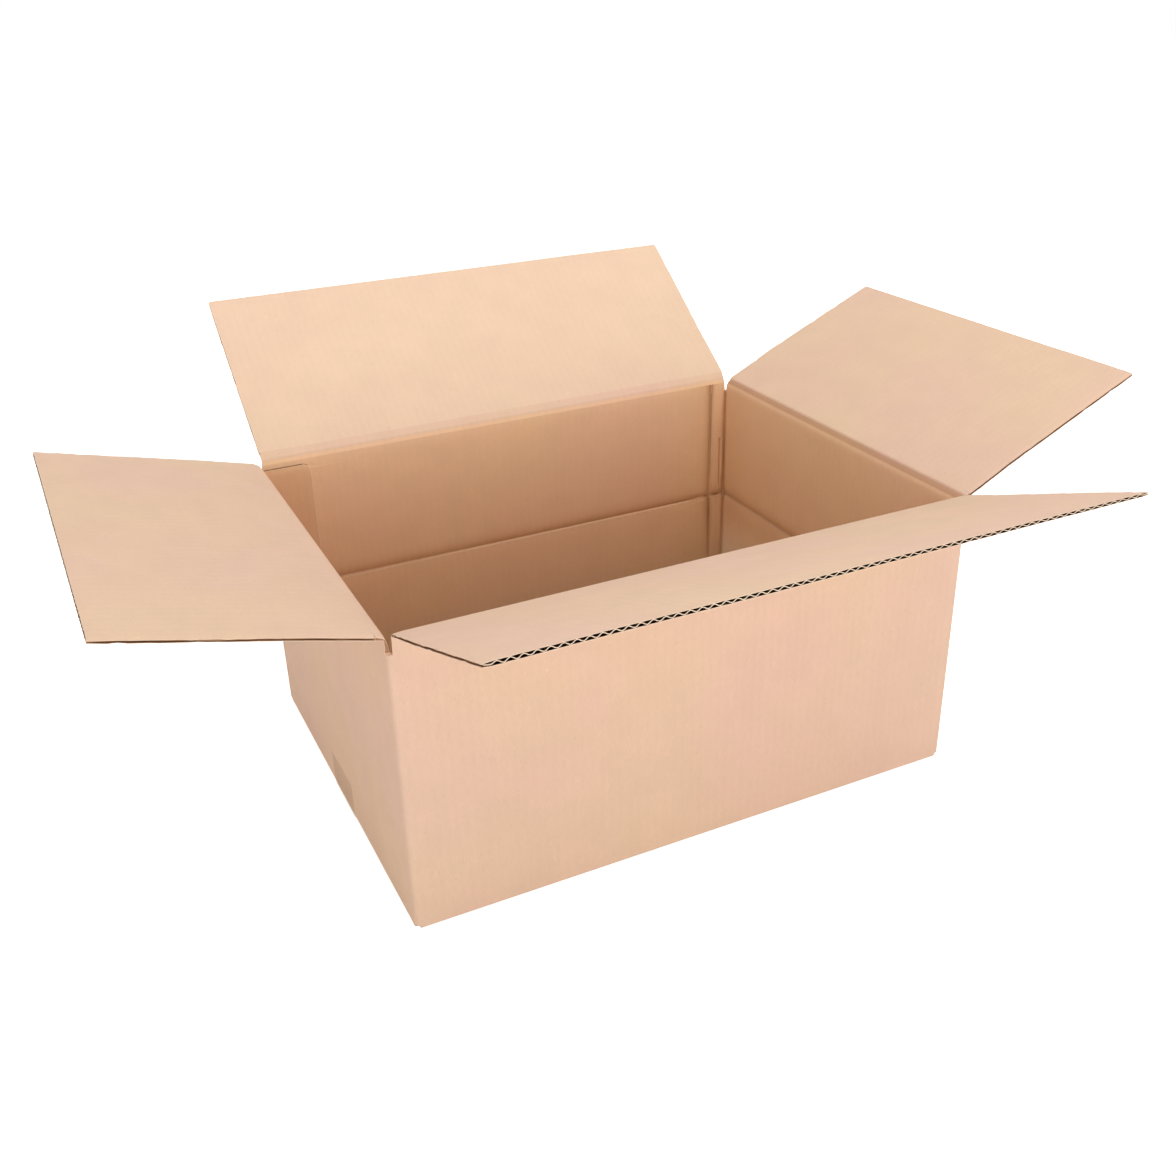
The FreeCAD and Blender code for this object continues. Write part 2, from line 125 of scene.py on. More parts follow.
class Blank:
    """One mesh under work, shaped in edit mode by operators."""

    def __init__(self, name: str, thing: Piece) -> None:
        """Takes an object and names it."""
        self.thing = thing
        thing.name = name
        thing.data.name = name

    @classmethod
    def grid(
        cls, name: str, size: tuple[float, float], centre: Triple, cells: tuple[int, int],
        upright: bool = False,
    ) -> "Blank":
        """A flat rectangle of square cells.

        Args:
            name: the piece's name.
            size: its width and its depth or height.
            centre: where its middle is.
            cells: the number of cells each way.
            upright: stands facing the inside instead of lying face up.

        Returns:
            The blank.
        """
        free_all()
        turn = (math.radians(90.0), 0.0, 0.0) if upright else (0.0, 0.0, 0.0)
        bpy.ops.mesh.primitive_grid_add(
            x_subdivisions=cells[0], y_subdivisions=cells[1], size=1.0, location=centre, rotation=turn
        )
        thing = bpy.context.object
        thing.scale = (size[0], size[1], 1.0)
        bpy.ops.object.transform_apply(location=True, rotation=True, scale=True)
        return cls(name, thing)

    def activate(self) -> None:
        """Makes this the only selected object, in object mode."""
        free_all()
        self.thing.select_set(True)
        bpy.context.view_layer.objects.active = self.thing

    def pick(self, kind: str, test: Test) -> int:
        """Selects vertices, edges or faces by their place, in edit mode.

        Args:
            kind: VERT, EDGE or FACE.
            test: says yes for an element's middle and the element itself.

        Returns:
            How many were selected.
        """
        if bpy.context.mode != "EDIT_MESH" or bpy.context.object is not self.thing:
            self.activate()
            bpy.ops.object.mode_set(mode="EDIT")
        bpy.ops.mesh.select_mode(type=kind)
        bpy.ops.mesh.select_all(action="DESELECT")
        mesh = bmesh.from_edit_mesh(self.thing.data)
        items = {"VERT": mesh.verts, "EDGE": mesh.edges, "FACE": mesh.faces}[kind]
        count = 0
        for item in items:
            if kind == "VERT":
                middle = item.co
            else:
                middle = sum((vert.co for vert in item.verts), Vector()) / len(item.verts)
            if test(middle, item):
                item.select_set(True)
                count += 1
        bmesh.update_edit_mesh(self.thing.data)
        return count

    def move(self, step: Sequence[float], soft: float = 0.0) -> None:
        """Moves what is selected, dragging what is within the soft distance along."""
        if soft:
            bpy.ops.transform.translate(
                value=step, use_proportional_edit=True, use_proportional_connected=True,
                proportional_edit_falloff="SMOOTH", proportional_size=soft,
            )
        else:
            bpy.ops.transform.translate(value=step)

    def roughen(self, test: Test, offset: float, seed: int) -> None:
        """Shifts chosen vertices at random by up to the offset."""
        if self.pick("VERT", test):
            bpy.ops.transform.vertex_random(offset=offset, uniform=0.0, normal=0.0, seed=seed)

    def mark(self, share: float) -> None:
        """Notes how much darker the paper is painted at the selected vertices, for its finish to read: partly
        crushing, partly painted shade.
        """
        mesh = bmesh.from_edit_mesh(self.thing.data)
        layer = mesh.verts.layers.float.get(CRUSH_AND_SHADE) or mesh.verts.layers.float.new(CRUSH_AND_SHADE)
        for vert in mesh.verts:
            if vert.select:
                vert[layer] = max(share, vert[layer])
        bmesh.update_edit_mesh(self.thing.data)

    def sweep(self, outer: Sequence[Vector], inner: Sequence[Vector]) -> None:
        """Extrudes the whole flat blank through sections across X.

        Args:
            outer: the outer edge of each section, from the blank's own.
            inner: the inner edge of each section.
        """
        self.pick("FACE", lambda middle, face: True)
        for last, new_outer in enumerate(outer[1:]):
            step = new_outer - outer[last]
            bpy.ops.mesh.extrude_region_move(TRANSFORM_OT_translate={"value": step})
            rest = inner[last + 1] - inner[last] - step
            if rest.length > 1e-7:
                mesh = bmesh.from_edit_mesh(self.thing.data)
                mesh.verts.index_update()
                fresh = [vert.index for vert in mesh.verts if vert.select]
                target = inner[last] + step
                bpy.ops.mesh.select_mode(type="VERT")
                mesh.verts.ensure_lookup_table()
                for index in fresh:
                    place = mesh.verts[index].co
                    near = abs(place.y - target.y) + abs(place.z - target.z) < 0.02
                    mesh.verts[index].select_set(near)
                mesh.select_flush(False)
                bmesh.update_edit_mesh(self.thing.data)
                bpy.ops.transform.translate(value=rest)
                mesh = bmesh.from_edit_mesh(self.thing.data)
                mesh.verts.ensure_lookup_table()
                for index in fresh:
                    mesh.verts[index].select_set(True)
                mesh.select_flush(True)
                bmesh.update_edit_mesh(self.thing.data)
                bpy.ops.mesh.select_mode(type="FACE")

    def modify(self, kind: str, **settings: Any) -> None:
        """Adds a modifier with its settings and applies it."""
        self.activate()
        modifier = self.thing.modifiers.new(kind.lower(), kind)
        for key, value in settings.items():
            setattr(modifier, key, value)
        bpy.ops.object.modifier_apply(modifier=modifier.name)

    def weigh(self, name: str, weight: Callable[[Vector], float]) -> str:
        """Writes a vertex group from each vertex's place and returns its name."""
        self.activate()
        group = self.thing.vertex_groups.new(name=name)
        for vert in self.thing.data.vertices:
            group.add([vert.index], weight(vert.co), "REPLACE")
        return group.name

    def join(self, other: "Blank") -> None:
        """Takes another blank's mesh into this one."""
        free_all()
        other.thing.select_set(True)
        self.thing.select_set(True)
        bpy.context.view_layer.objects.active = self.thing
        bpy.ops.object.join()

    def dress(self, *materials: Material) -> None:
        """Gives the mesh its material slots; a modifier that names a slot needs them first."""
        for material in materials:
            self.thing.data.materials.append(material)

    def outwards(self) -> None:
        """Turns all faces outwards."""
        self.pick("FACE", lambda middle, face: True)
        bpy.ops.mesh.normals_make_consistent(inside=False)
        bpy.ops.object.mode_set(mode="OBJECT")

    def place(self, where: Matrix = Matrix(), smooth: float | None = 35.0) -> Piece:
        """Puts the piece in the box's frame, in metres.

        Args:
            where: the piece's own frame in the box's, in millimetres.
            smooth: faces that meet at less than this angle are shaded smooth; none leaves the shading.

        Returns:
            The finished object.
        """
        self.activate()
        self.thing.matrix_world = Matrix.Scale(MM, 4) @ where
        bpy.ops.object.transform_apply(location=True, rotation=True, scale=True)
        if smooth is not None:
            bpy.ops.object.shade_smooth_by_angle(angle=math.radians(smooth))
        self.thing.vertex_groups.clear()
        return self.thing


def feed(tree: Tree, node: Node, inputs: dict[Any, Any]) -> None:
    """Sets a node's inputs, each to a value or to the socket that is linked to it."""
    for key, value in inputs.items():
        if isinstance(value, Socket):
            tree.links.new(value, node.inputs[key])
        else:
            node.inputs[key].default_value = value


def add_node(tree: Tree, kind: str, inputs: dict[Any, Any], **settings: Any) -> Node:
    """Adds a shader node to a tree.

    Args:
        tree: the node tree.
        kind: the node's type, after "ShaderNode".
        inputs: the value or the socket of each input that is set.
        **settings: the node's own settings.

    Returns:
        The node.
    """
    node = tree.nodes.new("ShaderNode" + kind)
    for key, value in settings.items():
        setattr(node, key, value)
    feed(tree, node, inputs)
    return node


def calculate(tree: Tree, operation: str, *values: Socket | float) -> Socket:
    """The result of one calculation with numbers or sockets."""
    return add_node(tree, "Math", dict(enumerate(values)), operation=operation).outputs[0]


def mix_colours(tree: Tree, share: Socket, first: Any, second: Any, way: str = "MIX") -> Socket:
    """A share of the second colour blended over the first; either may be a socket."""
    inputs = {"Factor": share, "A": first, "B": second}
    return add_node(tree, "Mix", inputs, data_type="RGBA", blend_type=way).outputs["Result"]


def ramp(tree: Tree, value: Socket, low: float, high: float, out_low: float, out_high: float) -> Socket:
    """A value carried smoothly from one range to another."""
    inputs = {"Value": value, "From Min": low, "From Max": high, "To Min": out_low, "To Max": out_high}
    return add_node(tree, "MapRange", inputs, interpolation_type="SMOOTHSTEP").outputs["Result"]


def product(tree: Tree, *values: Socket) -> Socket:
    """The product of several grey values."""
    return reduce(lambda result, value: calculate(tree, "MULTIPLY", result, value), values)


def new_material(name: str) -> tuple[Material, Tree, Node]:
    """A new node material, with its node tree and its Principled shader."""
    material = bpy.data.materials.new(name)
    material.use_nodes = True
    tree = material.node_tree
    return material, tree, tree.nodes["Principled BSDF"]


@dataclass(frozen=True)
class Kraft:
    """Matt kraft paper with fibres, soft mottling and a faint show-through of the flutes."""

    name: str
    warm: Triple = (0.825, 0.584, 0.404)
    rosy: Triple = (0.825, 0.562, 0.422)
    across: Across = Across.X
    flute_tint: float = 0.005
    flute_relief: float = 0.00002
    fibre_relief: float = 0.00012
    fibre_stretch: Triple = (1.0, 1.0, 0.28)
    roughness: float = 0.82
    specular: float = 0.3

    def noise(
        self, tree: Tree, place: Socket, scale: float, detail: float, stretch: Triple = (1.0, 1.0, 1.0)
    ) -> Socket:
        """Noise on stretched coordinates.

        Args:
            tree: the node tree.
            place: the coordinates to read.
            scale: the noise's own scale, per metre.
            detail: how many finer layers it has.
            stretch: the scale along each axis.

        Returns:
            The noise's grey value.
        """
        mapping = add_node(tree, "Mapping", {"Scale": stretch, "Vector": place})
        inputs = {"Scale": scale, "Detail": detail, "Roughness": 0.6, "Vector": mapping.outputs["Vector"]}
        return add_node(tree, "TexNoise", inputs).outputs["Fac"]

    def flute_wave(self, tree: Tree, coords: Node) -> Socket:
        """The faint wave of the flutes under the paper."""
        split = add_node(tree, "SeparateXYZ", {0: coords.outputs["Object"]})
        if self.across is Across.BY_WALL:
            facing = add_node(tree, "SeparateXYZ", {0: coords.outputs["Normal"]})
            is_side = calculate(tree, "GREATER_THAN", calculate(tree, "ABSOLUTE", facing.outputs["X"]), 0.5)
            inputs = {"Factor": is_side, "A": split.outputs["X"], "B": split.outputs["Y"]}
            run = add_node(tree, "Mix", inputs).outputs["Result"]
        else:
            run = split.outputs[self.across.value]
        return calculate(tree, "SINE", calculate(tree, "MULTIPLY", run, 2.0 * math.pi / (FLUTE_PITCH * MM)))

    def with_painted_shade(self, tree: Tree, coords: Node, colour: Socket) -> Socket:
        """The paper's colour, with no painted shade unless a kind of paper adds it."""
        return colour

    def material(self) -> Material:
        """Builds the paper's node material."""
        material, tree, shader = new_material(self.name)
        coords = add_node(tree, "TexCoord", {})
        place = coords.outputs["Object"]
        patches = ramp(tree, self.noise(tree, place, 8.0, 2.0), 0.32, 0.68, 0.0, 1.0)
        tone = ramp(tree, self.noise(tree, place, 34.0, 4.0), 0.3, 0.7, 0.98, 1.015)
        fibres = ramp(tree, self.noise(tree, place, 900.0, 3.0, self.fibre_stretch), 0.3, 0.7, 0.982, 1.015)
        specks = ramp(tree, self.noise(tree, place, 520.0, 1.0), 0.70, 0.80, 1.0, 0.90)
        flecks = ramp(tree, self.noise(tree, place, 310.0, 1.0), 0.72, 0.82, 1.0, 1.07)
        wave = self.flute_wave(tree, coords)
        lines = ramp(tree, wave, -1.0, 1.0, 1.0 - self.flute_tint, 1.0 + self.flute_tint)
        hue = mix_colours(tree, patches, (*self.warm, 1.0), (*self.rosy, 1.0))
        colour = self.with_painted_shade(tree, coords, hue)
        light = product(tree, tone, fibres, specks, flecks, lines)
        shade = add_node(tree, "VectorMath", {0: colour, "Scale": light}, operation="SCALE")
        ribs = add_node(tree, "Bump", {"Strength": 1.0, "Distance": self.flute_relief, "Height": wave})
        relief = add_node(tree, "Bump", {
            "Strength": 0.5, "Distance": self.fibre_relief, "Height": fibres, "Normal": ribs.outputs["Normal"],
        })
        feed(tree, shader, {
            "Base Color": shade.outputs["Vector"],
            "Roughness": self.roughness,
            "Specular IOR Level": self.specular,
            "Normal": relief.outputs["Normal"],
        })
        return material


@dataclass(frozen=True)
class WallKraft(Kraft):
    """Kraft paper of the walls, with painted light and shade on the inside: warmer near the top, darker low
    down.
    """

    inside_x: float = 0.2015
    inside_y: float = 0.1515
    top: float = 0.160
    low: float = 0.0
    # Painted light and shade inside the box: a warm tint at the top, a darker tint at the bottom.
    painted_rim_light: Triple = (1.06, 1.0, 0.86)
    painted_deep_shade: Triple = (0.70, 0.69, 0.60)
    # Painted darkening where the paper is pressed: partly the crushing's own colour, partly painted shade in
    # creases and grooves.
    crushed_and_shaded: Triple = (0.64, 0.50, 0.38)

    def beyond(self, tree: Tree, value: Socket, limit: float) -> Socket:
        """How far a coordinate lies beyond a limit, to either side."""
        return calculate(tree, "SUBTRACT", calculate(tree, "ABSOLUTE", value), limit)

    def with_painted_shade(self, tree: Tree, coords: Node, colour: Socket) -> Socket:
        """The paper's colour with painted shade: warmer near the top of the inside, darker towards the bottom,
        and darker where pressed, partly for crushing and partly as painted shade.
        """
        split = add_node(tree, "SeparateXYZ", {0: coords.outputs["Object"]})
        beyond_x = self.beyond(tree, split.outputs["X"], self.inside_x)
        beyond_y = self.beyond(tree, split.outputs["Y"], self.inside_y)
        # Painted shade inside the box, darker towards the bottom.
        within = ramp(tree, calculate(tree, "MAXIMUM", beyond_x, beyond_y), -0.0005, 0.0, 1.0, 0.0)
        depth = ramp(tree, split.outputs["Z"], self.low, self.top, 1.0, 0.0)
        painted_inside_shade = mix_colours(tree, product(tree, depth, depth), (*self.painted_rim_light, 1.0), (*self.painted_deep_shade, 1.0))
        tint = mix_colours(tree, within, colour, painted_inside_shade, "MULTIPLY")
        # Darker where the attribute marks pressed paper: partly crushing, partly painted shade.
        crush_and_shade = add_node(tree, "Attribute", {}, attribute_name=CRUSH_AND_SHADE)
        return mix_colours(tree, crush_and_shade.outputs["Fac"], tint, (*self.crushed_and_shaded, 1.0), "MULTIPLY")


@dataclass(frozen=True)
class PlainKraft(Kraft):
    """Kraft paper of the cut edges and the medium, where no flutes show through."""

    flute_tint: float = 0.0
    flute_relief: float = 0.0


@dataclass(frozen=True)
class ClearTape:
    """Thin clear film with a soft gloss."""

    name: str = "clear_tape"
    tint: Triple = (0.80, 0.60, 0.42)
    cover: float = 0.16
    streak_scale: float = 60.0
    roughness: tuple[float, float] = (0.12, 0.26)
    refraction: float = 1.46

    def material(self) -> Material:
        """Builds the film's node material."""
        material, tree, shader = new_material(self.name)
        coords = add_node(tree, "TexCoord", {})
        streaks = add_node(tree, "TexNoise", {"Scale": self.streak_scale, "Vector": coords.outputs["Object"]})
        inputs = {"To Min": self.roughness[0], "To Max": self.roughness[1], "Value": streaks.outputs["Fac"]}
        feed(tree, shader, {
            "Base Color": (*self.tint, 1.0),
            "Roughness": add_node(tree, "MapRange", inputs).outputs["Result"],
            "Alpha": self.cover,
            "IOR": self.refraction,
        })
        return material


def finish(look: Kraft | ClearTape) -> Any:
    """A field whose material is built with the other finishes."""
    return field(default_factory=look.material)


@dataclass
class Finishes:
    """The finishes of the box, each built once."""

    walls: Material = finish(WallKraft("kraft_walls", across=Across.BY_WALL))
    long_flaps: Material = finish(Kraft("kraft_long_flaps"))
    back_flap: Material = finish(
        Kraft("kraft_back_flap", warm=(0.838, 0.602, 0.424), rosy=(0.832, 0.585, 0.422))
    )
    glue_tab: Material = finish(
        WallKraft("kraft_glue_tab", warm=(0.735, 0.492, 0.322), rosy=(0.735, 0.472, 0.336))
    )
    side_flaps: Material = finish(Kraft("kraft_side_flaps", across=Across.Y))
    long_creases: Material = finish(WallKraft("kraft_long_creases"))
    side_creases: Material = finish(WallKraft("kraft_side_creases", across=Across.Y))
    cut_edge: Material = finish(
        PlainKraft("cut_paper_edge", warm=(0.88, 0.68, 0.49), rosy=(0.87, 0.65, 0.48))
    )
    # The medium's brown, painted far darker as the shade in the board's channels.
    medium: Material = finish(
        PlainKraft("fluted_medium_painted_shade", warm=(0.16, 0.085, 0.045), rosy=(0.15, 0.078, 0.042))
    )
    torn: Material = finish(PlainKraft("torn_medium", warm=(0.60, 0.35, 0.20), rosy=(0.56, 0.32, 0.19)))
    tape: Material = finish(ClearTape())


@dataclass(frozen=True)
class CreaseShape:
    """Thickness of the creased board: by distance below the bend, share of the bend, distance beyond.

    The crush_and_shade value says how much darker the pressed paper is painted: partly for crushing, partly as
    painted shade in the groove.
    """

    wall: tuple[tuple[float, float], ...]
    bend: tuple[tuple[float, float], ...]
    flap: tuple[tuple[float, float], ...]
    crush_and_shade: float = 0.0


# An open trough with a sharp lower shoulder.
TROUGH = CreaseShape(
    wall=((3.45, 3.0), (3.25, 2.95), (2.6, 2.62), (1.9, 2.28), (1.2, 1.95), (0.5, 1.66)),
    bend=((0.0, 1.5), (0.2, 1.42), (0.4, 1.38), (0.6, 1.38), (0.8, 1.42), (1.0, 1.5)),
    flap=((1.0, 1.8), (2.0, 2.15), (3.0, 2.5), (4.0, 2.85), (4.6, 2.97)),
)
# A wide groove with a steep side under the flap's foot.
NOTCH = CreaseShape(
    wall=((6.6, 3.0), (5.0, 2.93), (3.4, 2.78), (2.0, 2.5), (1.0, 2.1), (0.4, 1.7)),
    bend=((0.0, 1.45), (0.25, 1.22), (0.5, 1.12), (0.75, 1.12), (1.0, 1.18)),
    flap=((0.7, 1.25), (1.2, 1.4), (1.7, 1.8), (2.2, 2.3), (2.7, 2.75), (3.2, 2.98), (4.2, 3.0)),
    # The groove is painted darker: painted shade, with some darkening from crushing.
    crush_and_shade=0.9,
)
# A soft roll, flattened over the fold.
ROLL = CreaseShape(
    wall=((5.0, 3.0), (3.6, 2.84), (2.2, 2.5), (1.0, 2.2)),
    bend=((0.0, 1.95), (0.25, 1.85), (0.5, 1.8), (0.75, 1.82), (1.0, 1.9)),
    flap=((1.0, 2.15), (2.2, 2.5), (3.4, 2.85), (4.4, 3.0)),
)


@dataclass(frozen=True)
class Side:
    """One top flap's place: its crease, the way it faces and its lean outwards from upright.

    The worn edge is the thickness that the free edge has lost at its two corners.
    """

    name: str
    width: float
    axis: Triple
    turn: float
    lean: float
    across: Across
    crease: CreaseShape = TROUGH
    twist: float = 0.0
    waviness: float = 1.0
    wave_size: float = 150.0
    worn_edge: tuple[float, float] = (0.5, 0.5)

    def upright(self) -> Matrix:
        """The flap's frame before it leans: X along the crease, Y outwards, Z up."""
        return Matrix.Translation(self.axis) @ Matrix.Rotation(math.radians(self.turn), 4, "Z")

    def up_flap(self) -> Vector:
        """The way up the leaning flap, in the upright frame."""
        lean = math.radians(self.lean)
        return Vector((0.0, math.sin(lean), math.cos(lean)))

    def leaning(self) -> Matrix:
        """The flap's frame as it stands."""
        return self.upright() @ Matrix.Rotation(-math.radians(self.lean), 4, "X")


SIDES = (
    Side("front", LONG_WIDTH, (0.0, -HALF_WIDTH - HINGE_OFFSET, LONG_CREASE), 180.0, 69.0, Across.X,
         TROUGH, wave_size=170.0, worn_edge=(0.9, 0.4)),
    Side("back", LONG_WIDTH, (0.0, HALF_WIDTH + HINGE_OFFSET, LONG_CREASE), 0.0, 54.0, Across.X,
         TROUGH, wave_size=140.0),
    Side("left", SHORT_WIDTH, (-HALF_LENGTH - HINGE_OFFSET, 0.0, SIDE_CREASE), 90.0, 76.0, Across.Y,
         ROLL, wave_size=120.0),
    Side("right", SHORT_WIDTH, (HALF_LENGTH + HINGE_OFFSET, 0.0, SIDE_CREASE), -90.0, 66.0, Across.Y,
         NOTCH, twist=-0.3, wave_size=155.0),
)


@dataclass
class Flap:
    """One top flap: two liners with the wavy medium between them."""

    side: Side
    finishes: Finishes
    cell: float = 3.25
    rows: int = 30
    wave_columns: int = 6
    wave_rows: int = 15
    # How far the medium's side ends stay back, and how much the sheets close on each other there.
    side_recess: float = 0.6
    pinch: float = 0.5
    end_squeeze: float = 0.35
    nicks: int = 4
    roughness: float = 0.14
    # The height over which a flap becomes free to warp.
    freed_over: float = 45.0
    # Bands along the free edge that are worn alike, their overhang, and how far the wear reaches down
    # in full and in part.
    worn_bands: int = 12
    overhang: float = 2.0
    wear_depths: tuple[Triple, ...] = ((0.0, 0.6, 1.0), (0.6, 5.6, 0.4))

    def free_part(self, place: Vector) -> float:
        """How freely a place on the flap may warp: not at all beside the crease."""
        share = min(1.0, max(0.0, (place.z - STRIP_REACH) / self.freed_over))
        return share * share * (3.0 - 2.0 * share)

    def warp(self, blank: Blank) -> None:
        """Gives a sheet the flap's own soft waves and twist, all to its free side.

        The long flaps close over the side flaps, so they bow outwards and the side flaps inwards.
        """
        cloud = bpy.data.textures.new(blank.thing.name + "_waves", "CLOUDS")
        cloud.noise_scale = self.side.wave_size
        cloud.noise_depth = 1
        group = blank.weigh("free", self.free_part)
        blank.modify(
            "DISPLACE", texture=cloud, texture_coords="LOCAL", direction="Y",
            mid_level=0.5, strength=self.side.waviness, vertex_group=group,
        )
        blank.modify(
            "SIMPLE_DEFORM", deform_method="TWIST", deform_axis="Z",
            angle=math.radians(self.side.twist),
        )
        reach = self.side.waviness / 2 + abs(math.radians(self.side.twist)) * self.side.width / 2
        blank.modify(
            "DISPLACE", direction="Y", mid_level=0.0, vertex_group=group,
            strength=reach if self.side.across is Across.X else -reach,
        )

    def wear(self, blank: Blank, kept_flat: float) -> None:
        """Presses the free edge together, by the worn edge's share from corner to corner.

        Args:
            blank: the flap's sheets about the middle of the board.
            kept_flat: half the thickness that doesn't give, in millimetres.
        """
        left, right = self.side.worn_edge
        width = (self.side.width + 2 * self.overhang) / self.worn_bands
        slack = BOARD / 2 - kept_flat
        for band in range(self.worn_bands):
            start = band * width - self.side.width / 2 - self.overhang
            lost = left + (right - left) * band / (self.worn_bands - 1)
            for low, high, share in self.wear_depths:
                found = blank.pick(
                    "VERT",
                    lambda place, vert: start <= place.x < start + width
                    and low <= FLAP_LENGTH + 0.31 - place.z < high,
                )
                if found:
                    squeeze = (slack - lost * share / 2) / slack
                    bpy.ops.transform.resize(
                        value=(1.0, squeeze, 1.0), center_override=(0.0, MIDDLE_DEPTH, 0.0)
                    )

    def liner(self, name: str, face: float, seed: int) -> Blank:
        """One flat liner whose visible face is at a given depth.

        Args:
            name: the piece's name.
            face: the depth of its inner side.
            seed: seeds the cut edge's unevenness.

        Returns:
            The blank, not yet given its thickness.
        """
        middle = (0.0, face, STRIP_REACH + SHEET_HEIGHT / 2)
        columns = round(self.side.width / self.cell)
        blank = Blank.grid(name, (self.side.width, SHEET_HEIGHT), middle, (columns, self.rows), upright=True)
        half = self.side.width / 2
        inward = 1.0 if face < MIDDLE_DEPTH else -1.0
        for way in (-1.0, 1.0):
            for reach, step in ((0.1, self.pinch * 0.75), (self.cell + 0.1, self.pinch * 0.25)):
                blank.pick("VERT", lambda place, vert: way * place.x > half - reach)
                blank.move((0.0, inward * step, 0.0))
        blank.roughen(
            lambda place, vert: place.z > FLAP_LENGTH - 0.1
            or abs(place.x) > half - 0.1 and place.z > STRIP_REACH + 1,
            self.roughness, seed,
        )
        self.nick(blank, half, inward, seed)
        return blank

    def nick(self, blank: Blank, half: float, inward: float, seed: int) -> None:
        """Tears the cut side edges here and there, as a blunt die does.

        Args:
            blank: the flat liner.
            half: half its width.
            inward: the way to the other liner along Y.
            seed: seeds where the tears are.
        """
        draw = random.Random(f"{self.side.name}{seed}")
        for way in (-1.0, 1.0):
            for row in draw.sample(range(2, self.rows - 1), self.nicks):
                level = STRIP_REACH + SHEET_HEIGHT * row / self.rows
                blank.pick(
                    "VERT", lambda place, vert: abs(place.z - level) < 0.5 and way * place.x > half - 0.6
                )
                outward_step = way * draw.uniform(-0.5, 0.3)
                inward_step = inward * draw.uniform(0.1, 0.35)
                blank.move((outward_step, inward_step, draw.uniform(-1.2, 1.2)))

    def liners(self) -> Piece:
        """Both liners of the flap as one piece."""
        name = self.side.name + "_flap_liners"
        inner = self.liner(name, INNER_FACE, 3)
        outer = self.liner(name + "_outer", OUTER_FACE - LINER, 8)
        inner.join(outer)
        finishes = self.finishes
        papers = {"front": finishes.long_flaps, "back": finishes.back_flap}
        paper = papers.get(self.side.name, finishes.side_flaps)
        inner.dress(paper, finishes.cut_edge, finishes.medium, finishes.torn)
        self.wear(inner, 0.0)
        inner.modify("SOLIDIFY", thickness=LINER, offset=-1.0, material_offset_rim=1)
        # Faces turned into the board take the torn medium finish near the sides and the dark medium finish
        # elsewhere, which is painted shade in the channels.
        for face in inner.thing.data.polygons:
            towards = 1.0 if face.center.y < MIDDLE_DEPTH else -1.0
            if towards * face.normal.y > 0.5:
                face.material_index = 3 if abs(face.center.x) > self.side.width / 2 - self.cell else 2
        self.warp(inner)
        return inner.place(self.side.leaning())

    def fray(self, blank: Blank, half: float) -> None:
        """Tears the medium's side ends unevenly: each row of each end moves in or out.

        Args:
            blank: the wavy medium.
            half: its side ends' distance from the middle.
        """
        draw = random.Random(self.side.name)
        for way in (-1.0, 1.0):
            blank.pick("VERT", lambda place, vert: way * place.x > half - FLUTE_PITCH * 0.7)
            bpy.ops.transform.resize(
                value=(1.0, self.end_squeeze, 1.0), center_override=(way * half, MIDDLE_DEPTH, 0.0)
            )
        for row in range(self.wave_rows + 1):
            level = STRIP_REACH + SHEET_HEIGHT * row / self.wave_rows
            for way in (-1.0, 1.0):
                blank.pick(
                    "VERT", lambda place, vert: abs(place.z - level) < 0.1 and way * place.x > half - 0.1
                )
                blank.move((way * draw.uniform(-0.6, 0.5), 0.0, 0.0))

    def flutes(self) -> Piece:
        """The wavy medium: one wave, repeated across the flap."""
        span = self.side.width - 2 * self.side_recess
        count = round(span / FLUTE_PITCH)
        pitch = span / count
        depth = BOARD - 2 * LINER - MEDIUM
        middle = (
            (pitch - self.side.width) / 2 + self.side_recess,
            MIDDLE_DEPTH,
            STRIP_REACH + SHEET_HEIGHT / 2,
        )
        name = self.side.name + "_flap_flutes"
        cells = (self.wave_columns, self.wave_rows)
        blank = Blank.grid(name, (pitch, SHEET_HEIGHT), middle, cells, upright=True)
        start = middle[0] - pitch / 2
        for column in range(self.wave_columns + 1):
            across = start + pitch * column / self.wave_columns
            blank.pick("VERT", lambda place, vert: abs(place.x - across) < 0.01)
            blank.move((0.0, -depth / 2 * math.cos(2 * math.pi * column / self.wave_columns), 0.0))
        blank.modify(
            "ARRAY", count=count, use_relative_offset=False, use_constant_offset=True,
            constant_offset_displace=(pitch, 0.0, 0.0), use_merge_vertices=True, merge_threshold=0.01,
        )
        self.fray(blank, self.side.width / 2 - self.side_recess)
        # The wavy medium's finish is its brown painted darker, as painted shade in the channels.
        blank.dress(self.finishes.medium, self.finishes.cut_edge, self.finishes.torn)
        self.wear(blank, LINER + MEDIUM / 2)
        blank.modify("SOLIDIFY", thickness=MEDIUM, offset=0.0, material_offset_rim=1)
        for face in blank.thing.data.polygons:
            at_side = abs(face.center.x) > self.side.width / 2 - self.side_recess - 0.6 * pitch
            if at_side and abs(face.normal.z) < 0.7:
                face.material_index = 2
        self.warp(blank)
        return blank.place(self.side.leaning())

    def build(self) -> list[Piece]:
        """Builds the flap's pieces on its body, in place of the plain solid."""
        body = self.side.name + "_flap"
        pieces = [self.liners(), self.flutes()]
        for piece in pieces:
            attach(piece, body)
        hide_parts(body)
        return pieces


